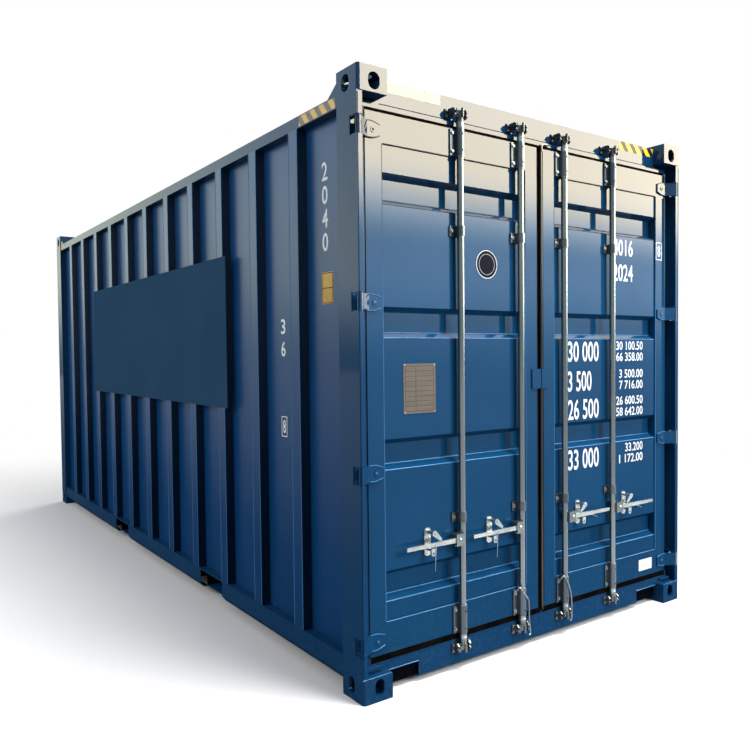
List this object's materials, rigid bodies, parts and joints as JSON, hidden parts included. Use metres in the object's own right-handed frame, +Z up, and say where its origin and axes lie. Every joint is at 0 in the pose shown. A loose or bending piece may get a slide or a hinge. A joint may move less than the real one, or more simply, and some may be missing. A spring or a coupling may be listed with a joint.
{
  "type": "shipping container",
  "caption": "Twenty foot high cube steel container with ribbed walls, two hinged cargo doors, turning lock rods, lifting handles and corner castings.",
  "frame": {"origin": "centre of the base at ground level, under the four bottom corner castings", "axes": "+X along the container towards the cargo doors, +Y across towards the right side as seen facing the doors, +Z up"},
  "size_m": [6.058, 2.438, 2.896],
  "materials": {
    "frame_paint": "glossy blue container paint on rolled steel",
    "wall_paint": "glossy blue container paint on folded sheet steel",
    "door_paint": "glossy blue container paint on the doors",
    "panel_paint": "satin dark blue paint on a flat sheet",
    "galvanised_steel": "zinc coated forgings and tube",
    "handle_steel": "bright zinc plated steel",
    "plate_steel": "bare stainless sheet",
    "gasket_rubber": "black ribbed seal",
    "floor_board": "sealed plywood boards"
  },
  "bodies": {
    "frame": {"bottom_castings": "frame_paint", "top_castings": "frame_paint", "left_door_post": "frame_paint", "right_door_post": "frame_paint", "front_posts": "frame_paint", "door_header": "frame_paint", "front_header": "frame_paint", "door_sill": "frame_paint", "front_sill": "frame_paint", "left_top_rail": "frame_paint", "right_top_rail": "frame_paint", "left_bottom_rail": "frame_paint", "right_bottom_rail": "frame_paint", "left_side_wall": "wall_paint", "right_side_wall": "wall_paint", "front_wall": "wall_paint", "roof": "wall_paint", "floor": "floor_board", "cross_members": "frame_paint", "fork_pockets": "frame_paint", "pocket_plates": "frame_paint", "marking_panel": "panel_paint", "cam_keepers": "galvanised_steel"},
    "left_door": {"left_door_frame": "door_paint", "left_door_panel": "door_paint", "left_door_gasket": "gasket_rubber", "left_hinges": "door_paint", "left_rod_brackets": "galvanised_steel", "left_handle_retainers": "galvanised_steel", "left_lock_plate": "door_paint", "data_plate": "plate_steel"},
    "left_inner_rod": {"left_inner_rod": "galvanised_steel"},
    "left_inner_handle": {"left_inner_handle": "handle_steel"},
    "left_inner_latch": {"left_inner_latch": "handle_steel"},
    "left_outer_rod": {"left_outer_rod": "galvanised_steel"},
    "left_outer_handle": {"left_outer_handle": "handle_steel"},
    "left_outer_latch": {"left_outer_latch": "handle_steel"},
    "right_door": {"right_door_frame": "door_paint", "right_door_panel": "door_paint", "right_door_gasket": "gasket_rubber", "right_hinges": "door_paint", "right_rod_brackets": "galvanised_steel", "right_handle_retainers": "galvanised_steel", "right_lock_plate": "door_paint"},
    "right_inner_rod": {"right_inner_rod": "galvanised_steel"},
    "right_inner_handle": {"right_inner_handle": "handle_steel"},
    "right_inner_latch": {"right_inner_latch": "handle_steel"},
    "right_outer_rod": {"right_outer_rod": "galvanised_steel"},
    "right_outer_handle": {"right_outer_handle": "handle_steel"},
    "right_outer_latch": {"right_outer_latch": "handle_steel"}
  },
  "joints": [
    {"name": "left_door_hinge", "type": "hinge", "parent": "frame", "child": "left_door", "pos_m": [3.008, -1.203, 1.45], "axis": [0, 0, -1], "range_deg": [0, 260]},
    {"name": "left_inner_rod_turn", "type": "hinge", "parent": "left_door", "child": "left_inner_rod", "pos_m": [2.995, -0.171, 0.671], "axis": [0, 0, -1], "range_deg": [-100, 0]},
    {"name": "left_inner_handle_lift", "type": "hinge", "parent": "left_inner_rod", "child": "left_inner_handle", "pos_m": [2.995, -0.209, 0.671], "axis": [1, 0, 0], "range_deg": [-9, 0]},
    {"name": "left_inner_latch_swing", "type": "hinge", "parent": "left_door", "child": "left_inner_latch", "pos_m": [3.02, -0.386, 0.729], "axis": [-1, 0, 0], "range_deg": [-90, 48]},
    {"name": "left_outer_rod_turn", "type": "hinge", "parent": "left_door", "child": "left_outer_rod", "pos_m": [2.995, -0.593, 0.671], "axis": [0, 0, -1], "range_deg": [-100, 0]},
    {"name": "left_outer_handle_lift", "type": "hinge", "parent": "left_outer_rod", "child": "left_outer_handle", "pos_m": [2.995, -0.631, 0.671], "axis": [1, 0, 0], "range_deg": [-9, 0]},
    {"name": "left_outer_latch_swing", "type": "hinge", "parent": "left_door", "child": "left_outer_latch", "pos_m": [3.02, -0.798, 0.729], "axis": [-1, 0, 0], "range_deg": [-90, 48]},
    {"name": "right_door_hinge", "type": "hinge", "parent": "frame", "child": "right_door", "pos_m": [3.008, 1.203, 1.45], "axis": [0, 0, 1], "range_deg": [0, 260]},
    {"name": "right_inner_rod_turn", "type": "hinge", "parent": "right_door", "child": "right_inner_rod", "pos_m": [2.995, 0.171, 0.671], "axis": [0, 0, 1], "range_deg": [-100, 0]},
    {"name": "right_inner_handle_lift", "type": "hinge", "parent": "right_inner_rod", "child": "right_inner_handle", "pos_m": [2.995, 0.209, 0.671], "axis": [-1, 0, 0], "range_deg": [-9, 0]},
    {"name": "right_inner_latch_swing", "type": "hinge", "parent": "right_door", "child": "right_inner_latch", "pos_m": [3.02, 0.309, 0.729], "axis": [1, 0, 0], "range_deg": [-90, 48]},
    {"name": "right_outer_rod_turn", "type": "hinge", "parent": "right_door", "child": "right_outer_rod", "pos_m": [2.995, 0.593, 0.671], "axis": [0, 0, 1], "range_deg": [-100, 0]},
    {"name": "right_outer_handle_lift", "type": "hinge", "parent": "right_outer_rod", "child": "right_outer_handle", "pos_m": [2.995, 0.631, 0.671], "axis": [-1, 0, 0], "range_deg": [-9, 0]},
    {"name": "right_outer_latch_swing", "type": "hinge", "parent": "right_door", "child": "right_outer_latch", "pos_m": [3.02, 0.731, 0.729], "axis": [1, 0, 0], "range_deg": [-90, 48]}
  ]
}
